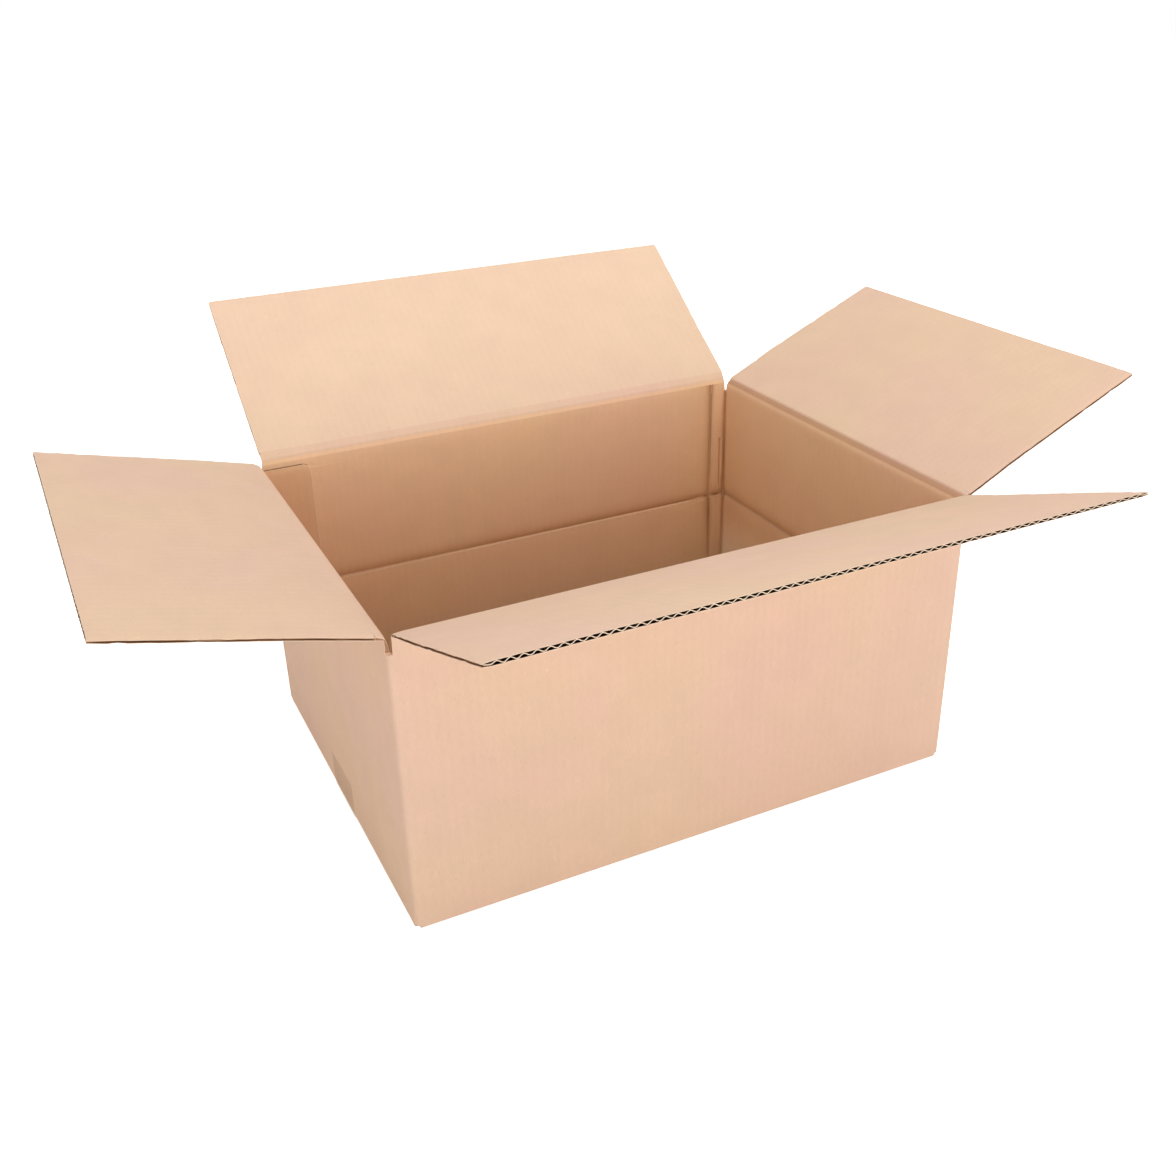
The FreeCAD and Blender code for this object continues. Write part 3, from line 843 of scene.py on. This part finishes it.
@dataclass
class Crease:
    """The creased strip of board between a wall and its flap."""

    side: Side
    finishes: Finishes
    cell: float = 6.5
    hinge_span: float = 3.0
    end_pinch: float = 0.55
    channel: float = 0.9
    # The thickness below which the pressed paper is painted darker, partly for crushing and partly as painted
    # shade in the groove, and how much thinner is darkest.
    darkened: float = 2.4
    darkening: float = 1.1

    def sections(self) -> tuple[list[Vector], list[Vector]]:
        """Outer and inner edge of each section, from the wall over the bend and up the flap."""
        shape = self.side.crease
        lean = math.radians(self.side.lean)
        up_flap = self.side.up_flap()
        outer: list[Vector] = []
        inner: list[Vector] = []

        def section(foot: Vector, angle: float, thickness: float) -> None:
            """Adds a section that stands at a foot on the crease's outside."""
            inwards = Vector((0.0, -math.cos(angle), math.sin(angle)))
            outer.append(foot + inwards * HINGE_OFFSET)
            inner.append(foot + inwards * (HINGE_OFFSET + thickness))

        section(Vector((0.0, 0.0, WALL_TOP - 0.01 - self.side.axis[2])), 0.0, BOARD)
        for below, thickness in shape.wall:
            section(Vector((0.0, 0.0, -below)), 0.0, thickness)
        for share, thickness in shape.bend:
            section(Vector(), lean * share, thickness)
        for beyond, thickness in shape.flap:
            section(up_flap * beyond, lean, thickness)
        section(up_flap * STRIP_REACH, lean, BOARD)
        return outer, inner

    def open_ends(self, blank: Blank) -> None:
        """Pinches the strip's cut ends and sinks the open channel between the liners into them."""
        half = self.side.width / 2
        foot = SLOT_BOTTOM - self.side.axis[2]
        blank.pick("VERT", lambda place, vert: abs(place.x) > half - 0.1 and place.z > foot + 0.5)
        bpy.ops.transform.shrink_fatten(value=-self.end_pinch)
        for way in (-1.0, 1.0):
            blank.pick("FACE", lambda middle, face: way * middle.x > half - 1.5 and abs(face.normal.x) > 0.8)
            bpy.ops.mesh.inset(thickness=LINER, depth=0.0, use_boundary=True, use_even_offset=True)
            sunk = (-way * self.channel, 0.0, 0.0)
            bpy.ops.mesh.extrude_region_move(TRANSFORM_OT_translate={"value": sunk})
            bpy.ops.mesh.select_more()
            mesh = bmesh.from_edit_mesh(blank.thing.data)
            for face in mesh.faces:
                if face.select:
                    face.material_index = 1
            bmesh.update_edit_mesh(blank.thing.data)

    def darken(self, blank: Blank, outer: Sequence[Vector], inner: Sequence[Vector]) -> None:
        """Notes how much darker the inside of each section is painted, by how much thinner it is than the
        board: partly crushing, partly painted shade in the groove.
        """
        for foot, edge in zip(outer, inner):
            thinner = self.darkened - (edge - foot).length
            share = self.side.crease.crush_and_shade * min(1.0, thinner / self.darkening)
            if share > 0.01:
                blank.pick("VERT", lambda place, vert: abs(place.y - edge.y) + abs(place.z - edge.z) < 0.02)
                blank.mark(share)

    def upright_line(self, blank: Blank) -> None:
        """Carries the back wall's pressed upright line, with its painted shade, on over the strip's foot."""
        for across, _, _ in Walls.upright_line:
            blank.pick("FACE", lambda middle, face: middle.x > Walls.upright_line[0][0] - self.cell)
            bpy.ops.mesh.bisect(plane_co=(across, 0.0, 0.0), plane_no=(1.0, 0.0, 0.0))
        for across, depth, crush_and_shade in Walls.upright_line:
            found = blank.pick(
                "VERT",
                lambda place, vert: abs(place.x - across) < 0.02
                and abs(place.y - INNER_FACE) < 0.02 and place.z < -3.3,
            )
            if found:
                blank.move((0.0, depth, 0.0))
                blank.mark(crush_and_shade)

    def build(self) -> Piece:
        """Sweeps the strip's section along the crease and puts it in place."""
        name = self.side.name + "_crease"
        outer, inner = self.sections()
        cells = (round(self.side.width / self.cell), 1)
        middle = (outer[0] + inner[0]) / 2
        blank = Blank.grid(name, (self.side.width, BOARD), tuple(middle), cells)
        blank.sweep(outer, inner)
        blank.outwards()
        self.darken(blank, outer, inner)
        if self.side.name == "back":
            self.upright_line(blank)
        self.open_ends(blank)
        paper = self.finishes.long_creases if self.side.across is Across.X else self.finishes.side_creases
        blank.dress(paper, self.finishes.torn)
        strip = blank.place(self.side.upright(), smooth=24.0)
        upright = self.side.upright()
        end = upright @ (self.side.up_flap() * self.hinge_span) * MM
        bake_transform(strip)
        return strip


@dataclass
class Walls:
    """The four walls, the closed bottom and the glue tab: the folded sheet below the slots."""

    finishes: Finishes
    # Place, depth and darkening, partly crushing and partly painted shade: down the walls for the level line,
    # across the back wall for the upright one.
    level_line: tuple[Triple, ...] = (
        (122.0, 0.0, 0.0), (114.0, 0.05, 0.0), (109.5, 0.15, 0.05), (107.0, 0.3, 0.1), (105.0, 0.5, 0.2),
        (103.0, 0.8, 0.35), (101.5, 1.15, 0.55), (100.0, 1.5, 0.75), (98.5, 0.6, 0.1), (96.5, 0.3, 0.0),
        (92.0, 0.08, 0.0), (86.0, 0.0, 0.0),
    )
    upright_line: tuple[Triple, ...] = (
        (165.0, 0.0, 0.0), (172.0, 0.05, 0.0), (177.0, 0.15, 0.05), (180.0, 0.3, 0.15), (182.5, 0.55, 0.35),
        (184.5, 0.9, 0.7), (185.5, 1.15, 0.95), (187.0, 1.45, 1.0), (188.5, 0.55, 0.2), (190.5, 0.1, 0.0),
        (194.0, 0.0, 0.0), (197.5, 0.0, 0.0),
    )
    line_top: float = WALL_TOP + 0.1
    line_foot: float = 9.0
    # Where the imported lines' bottoms are, and their depth.
    packed_level: float = 100.0
    packed_across: float = 187.0
    packed_depth: float = 0.7
    corner_step: float = 1.0
    corner_crush_and_shade: float = 0.65

    def cut(self, blank: Blank, spot: Triple, way: Triple) -> None:
        """Cuts the inside faces of the walls along a plane, leaving everything in place."""
        half_x, half_y = INNER_LENGTH / 2 + 1.0, INNER_WIDTH / 2 + 1.0
        blank.pick(
            "FACE",
            lambda middle, face: abs(middle.x) < half_x and abs(middle.y) < half_y
            and self.line_foot < middle.z < WALL_TOP and abs(face.normal.z) < 0.9,
        )
        bpy.ops.mesh.bisect(plane_co=spot, plane_no=way)

    def sink(self, blank: Blank, depth: float, crush_and_shade: float, outwards: Vector, near: Test) -> None:
        """Moves the vertices of one cut into the wall.

        Args:
            blank: the walls.
            depth: how far they move.
            crush_and_shade: how much darker the paper is painted there, partly for crushing, partly as painted
                shade.
            outwards: the wall's direction outwards.
            near: says which vertices are on the cut.
        """
        blank.pick("VERT", near)
        blank.move(outwards * depth)
        blank.mark(crush_and_shade)

    def press(self, blank: Blank) -> None:
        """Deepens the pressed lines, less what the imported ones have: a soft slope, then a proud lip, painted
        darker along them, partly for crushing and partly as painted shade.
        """
        for level, _, _ in self.level_line:
            self.cut(blank, (0.0, 0.0, level), (0.0, 0.0, 1.0))
        for across, _, _ in self.upright_line:
            self.cut(blank, (across, 0.0, 0.0), (1.0, 0.0, 0.0))
        self.cut(blank, (0.0, INNER_WIDTH / 2 - 2.5, 0.0), (0.0, 1.0, 0.0))
        self.cut(blank, (0.0, 0.0, self.line_top - 0.6), (0.0, 0.0, 1.0))
        flats = (INNER_LENGTH / 2 - 0.9, INNER_WIDTH / 2 - 0.9)
        for level, depth, crush_and_shade in self.level_line:
            depth -= self.packed_depth if level == self.packed_level else 0.0
            for way in (-1.0, 1.0):
                for axis in (1, 0):
                    outwards = Vector()
                    outwards[axis] = way
                    self.sink(
                        blank, depth, crush_and_shade, outwards,
                        lambda place, vert: abs(place.z - level) < 0.02
                        and abs(place[1 - axis]) < flats[1 - axis] + 0.2
                        and 0.0 < way * place[axis] - flats[axis] < 1.7,
                    )
        for across, depth, crush_and_shade in self.upright_line:
            depth -= self.packed_depth if across == self.packed_across else 0.0
            self.sink(
                blank, depth, crush_and_shade, Vector((0.0, 1.0, 0.0)),
                lambda place, vert: abs(place.x - across) < 0.02
                and self.line_foot < place.z < self.line_top and 0.0 < place.y - flats[1] < 2.6,
            )
        # The back right fold is pushed out and painted darker: partly crushing, partly painted shade.
        blank.pick(
            "VERT",
            lambda place, vert: 0.0 < place.x - flats[0] < 2.9 and 0.0 < place.y - flats[1] < 2.9
            and self.line_foot < place.z < self.line_top,
        )
        blank.move((self.corner_step, self.corner_step, 0.0))
        blank.mark(self.corner_crush_and_shade)

    def build(self) -> Piece:
        """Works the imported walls' mesh over and puts it in their place."""
        node = frame["nodes"]["box_body"]
        thing = node.copy()
        thing.data = node.data.copy()
        bpy.context.scene.collection.objects.link(thing)
        thing.parent = None
        thing.matrix_world = Matrix.Scale(1.0 / MM, 4) @ node.matrix_world
        for key in list(thing.keys()):
            del thing[key]
        blank = Blank("box_walls", thing)
        blank.activate()
        bpy.ops.object.transform_apply(location=True, rotation=True, scale=True)
        thing.data.materials.clear()
        blank.dress(self.finishes.walls)
        blank.pick("FACE", lambda middle, face: True)
        bpy.ops.mesh.remove_doubles(threshold=0.001)
        bpy.ops.mesh.bisect(
            plane_co=(0.0, 0.0, WALL_TOP), plane_no=(0.0, 0.0, 1.0), use_fill=True, clear_outer=True
        )
        self.press(blank)
        blank.outwards()
        blank.activate()
        bpy.ops.object.shade_smooth_by_angle(angle=math.radians(40.0))
        blank.modify("WEIGHTED_NORMAL", weight=100, keep_sharp=True)
        walls = blank.place(smooth=None)
        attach(walls, "box")
        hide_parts("box_body")
        return walls


@dataclass
class GlueTab:
    """The glue tab's face on the inside of the back wall, up to just under the crease."""

    finishes: Finishes
    width: float = 35.3
    top: float = 199.5
    foot: float = 8.0
    thickness: float = 2.1
    bevel: float = 0.4
    corner_step: Triple = (-1.2, 0.0, -1.6)

    def build(self) -> Piece:
        """Cuts the tab to its outline, thickens it and softens its cut edges."""
        start = -INNER_LENGTH / 2 + 0.3
        end = start + self.width
        height = self.top - self.foot
        middle = ((start + end) / 2, INNER_WIDTH / 2 - self.thickness, (self.top + self.foot) / 2)
        blank = Blank.grid("glue_tab", (self.width, height), middle, (6, 30), upright=True)
        blank.pick("VERT", lambda place, vert: place.x > end - 0.1 and place.z > self.top - 0.1)
        blank.move(self.corner_step)
        blank.roughen(lambda place, vert: place.x > end - 0.1 and place.z < self.top - 4.0, 0.25, 4)
        blank.dress(self.finishes.glue_tab, self.finishes.medium, self.finishes.cut_edge)
        blank.modify("SOLIDIFY", thickness=self.thickness - 0.05, offset=-1.0)
        steepest = math.radians(50.0)
        blank.modify("BEVEL", width=self.bevel, segments=2, limit_method="ANGLE", angle_limit=steepest)
        blank.outwards()
        # The top cut edge takes the dark medium finish: the open flutes, with painted shade in them.
        for face in blank.thing.data.polygons:
            if face.normal.z > 0.9:
                face.material_index = 1
            elif face.normal.x > 0.2:
                face.material_index = 2
        tab = blank.place()
        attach(tab, "box")
        return tab


@dataclass
class Wrinkle:
    """A puckered ridge of the inner paper beside the back right fold."""

    finishes: Finishes
    middle: float = 196.4
    width: float = 4.6
    low: float = 103.0
    top: float = 153.0
    height: float = 1.9
    sunk: float = 0.5
    # How much darker each column of the arch is painted, from its shaded side to its lit one: painted shade,
    # with some crushing.
    marks: tuple[float, ...] = (1.0, 0.9, 0.25, 0.0, 0.0, 0.3, 0.8)

    def build(self) -> Piece:
        """Arches a narrow strip of paper, narrows it downwards and lifts its torn top."""
        wall = INNER_WIDTH / 2
        columns = len(self.marks) - 1
        length = self.top - self.low
        centre = (self.middle, wall + self.sunk, (self.top + self.low) / 2)
        blank = Blank.grid("corner_wrinkle", (self.width, length), centre, (columns, 14), upright=True)
        for column, share in enumerate(self.marks):
            across = self.middle - self.width / 2 + self.width * column / columns
            blank.pick("VERT", lambda place, vert: abs(place.x - across) < 0.01)
            blank.move((0.0, -(self.height + self.sunk) * math.sin(math.pi * column / columns), 0.0))
            blank.mark(share)
        blank.pick("VERT", lambda place, vert: place.z < self.low + 0.1)
        bpy.ops.transform.resize(
            value=(0.3, 0.1, 1.0), center_override=(self.middle, wall + self.sunk, self.low),
            use_proportional_edit=True, use_proportional_connected=True, proportional_edit_falloff="SMOOTH",
            proportional_size=16.0,
        )
        blank.pick("VERT", lambda place, vert: place.z > self.top - 0.1 and place.y < wall - 0.3)
        blank.move((0.0, -0.7, 1.2), soft=3.0)
        blank.dress(self.finishes.walls, self.finishes.cut_edge)
        blank.modify("SOLIDIFY", thickness=LINER, offset=-1.0, material_offset_rim=1)
        wrinkle = blank.place()
        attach(wrinkle, "box")
        return wrinkle


@dataclass
class BottomTape:
    """Clear tape along the bottom seam, turned up on to the side walls."""

    finishes: Finishes
    width: float = 48.0
    skin: float = 0.10
    air: float = 0.03
    turn_up: float = 27.0

    def build(self) -> Piece:
        """Folds a strip of film round the bottom."""
        length = 2 * (HALF_LENGTH + self.air)
        blank = Blank.grid("clear_bottom_tape", (length, self.width), (0.0, 0.0, 0.15 - self.air), (16, 4))
        for way in (-1.0, 1.0):
            end = way * length / 2
            blank.pick("EDGE", lambda middle, edge: abs(middle.x - end) < 0.01)
            bpy.ops.mesh.extrude_region_move(TRANSFORM_OT_translate={"value": (0.0, 0.0, self.turn_up)})
        blank.outwards()
        blank.modify("SOLIDIFY", thickness=self.skin, offset=1.0)
        blank.outwards()
        blank.dress(self.finishes.tape)
        tape = blank.place()
        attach(tape, "box")
        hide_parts("bottom_tape")
        return tape


@dataclass
class Studio:
    """White surroundings, soft lamps and the photograph's camera."""

    focal_pixels: float = 1271.7
    frame_pixels: float = 1176.0
    place: Triple = (-0.3625, -0.7486, 0.5413)
    right: Triple = (0.898016, -0.439355, -0.023122)
    down: Triple = (-0.217003, -0.3966, -0.891974)
    forward: Triple = (0.382723, 0.806024, -0.451495)
    floor_size: float = 12.0
    floor_level: float = -0.0002
    floor_colour: Triple = (0.85, 0.85, 0.85)
    floor_glow: float = 0.8
    sky: float = 0.42
    horizon: float = 2.3
    horizon_height: float = 0.4
    lit_spot: Triple = (0.0, 0.0, 0.15)

    def camera(self) -> None:
        """Places the camera and makes it the scene's."""
        data = bpy.data.cameras.new("photo_camera")
        data.sensor_width = 36.0
        data.lens = self.focal_pixels / self.frame_pixels * data.sensor_width
        data.clip_start = 0.01
        eye = bpy.data.objects.new("photo_camera", data)
        bpy.context.scene.collection.objects.link(eye)
        columns = (Vector(self.right), -Vector(self.down), -Vector(self.forward))
        turn = Matrix([[columns[column][row] for column in range(3)] for row in range(3)])
        eye.matrix_world = Matrix.Translation(Vector(self.place)) @ turn.to_4x4()
        bpy.context.scene.camera = eye

    def floor(self) -> None:
        """A wide pale floor under the box, plain white to the camera but for its shadow."""
        free_all()
        bpy.ops.mesh.primitive_plane_add(size=self.floor_size, location=(0.0, 0.0, self.floor_level))
        floor = bpy.context.object
        floor.name = floor.data.name = "floor"
        material, tree, shader = new_material("floor_white")
        paths = add_node(tree, "LightPath", {})
        feed(tree, shader, {
            "Base Color": (*self.floor_colour, 1.0),
            "Roughness": 1.0,
            "Specular IOR Level": 0.0,
            "Emission Color": (1.0, 1.0, 1.0, 1.0),
            "Emission Strength": calculate(tree, "MULTIPLY", paths.outputs["Is Camera Ray"], self.floor_glow),
        })
        floor.data.materials.append(material)

    def world(self) -> None:
        """A pale sky, brightest at the horizon, that the camera sees as plain white."""
        world = bpy.data.worlds.new("studio")
        bpy.context.scene.world = world
        world.use_nodes = True
        tree = world.node_tree
        paths = add_node(tree, "LightPath", {})
        way = add_node(tree, "TexCoord", {})
        split = add_node(tree, "SeparateXYZ", {0: way.outputs["Generated"]})
        height = add_node(tree, "MapRange", {
            "From Min": 0.0,
            "From Max": self.horizon_height,
            "To Min": self.horizon,
            "To Max": self.sky,
            "Value": split.outputs["Z"],
        })
        inputs = {"A": height.outputs["Result"], "B": 1.0, "Factor": paths.outputs["Is Camera Ray"]}
        light = add_node(tree, "Mix", inputs).outputs["Result"]
        feed(tree, tree.nodes["Background"], {"Color": (1.0, 1.0, 1.0, 1.0), "Strength": light})

    def lamp(self, name: str, place: Sequence[float], size: float, watts: float) -> None:
        """One soft square lamp that faces the box.

        Args:
            name: the lamp's name.
            place: where it stands, in metres.
            size: the side of the square, in metres.
            watts: its power.
        """
        data = bpy.data.lights.new(name, "AREA")
        data.size = size
        data.energy = watts
        lamp = bpy.data.objects.new(name, data)
        bpy.context.scene.collection.objects.link(lamp)
        aim = Vector(self.lit_spot) - Vector(place)
        turn = aim.to_track_quat("-Z", "Y").to_matrix().to_4x4()
        lamp.matrix_world = Matrix.Translation(Vector(place)) @ turn

    def build(self) -> None:
        """Sets up the camera, the floor, the sky and the lamps."""
        self.camera()
        self.floor()
        self.world()
        self.lamp("top_lamp", (0.1, -0.3, 2.1), 1.2, 17.0)
        self.lamp("front_lamp", (0.2, -2.4, 0.72), 0.55, 9.0)


def main() -> None:
    """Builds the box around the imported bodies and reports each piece."""
    bpy.context.scene.view_settings.view_transform = "Standard"
    Studio().build()
    finishes = Finishes()
    pieces = [part(finishes).build() for part in (Walls, GlueTab, Wrinkle, BottomTape)]
    for side in SIDES:
        pieces += Flap(side, finishes).build()
        pieces.append(Crease(side, finishes).build())
    free_all()
    for piece in pieces:
        LOG.info("%s: %d faces", piece.name, len(piece.data.polygons))


if __name__ == "__main__":
    logging.basicConfig(level=logging.INFO, format="%(message)s")
    main()
